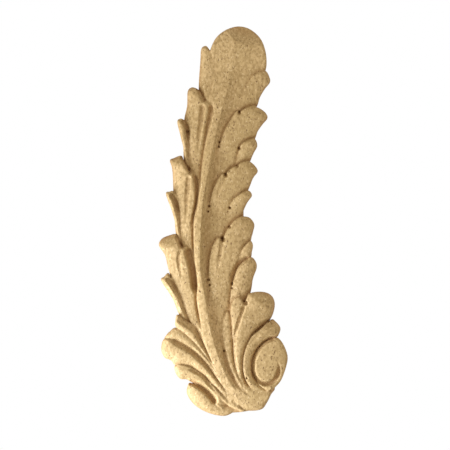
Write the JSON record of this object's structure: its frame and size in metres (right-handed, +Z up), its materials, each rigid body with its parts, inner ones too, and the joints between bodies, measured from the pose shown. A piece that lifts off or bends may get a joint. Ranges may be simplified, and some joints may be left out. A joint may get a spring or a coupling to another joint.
{
  "type": "wood applique",
  "caption": "Carved acanthus leaf applique in pale wood, tall and slightly S-curved, with lobed leaflets, a scroll at the foot and a flat back.",
  "frame": {"origin": "middle of the leaf's height and width, on the flat back that is glued or pinned to a surface", "axes": "+Z up along the leaf to its round tip, +Y out of the flat back into the surface it is fixed to, so the carving faces -Y"},
  "size_m": [0.0594, 0.012, 0.18],
  "materials": {
    "carved_wood": "bare pale wood, sanded, no stain or lacquer"
  },
  "bodies": {
    "root": {"acanthus_leaf": "carved_wood"}
  },
  "joints": []
}
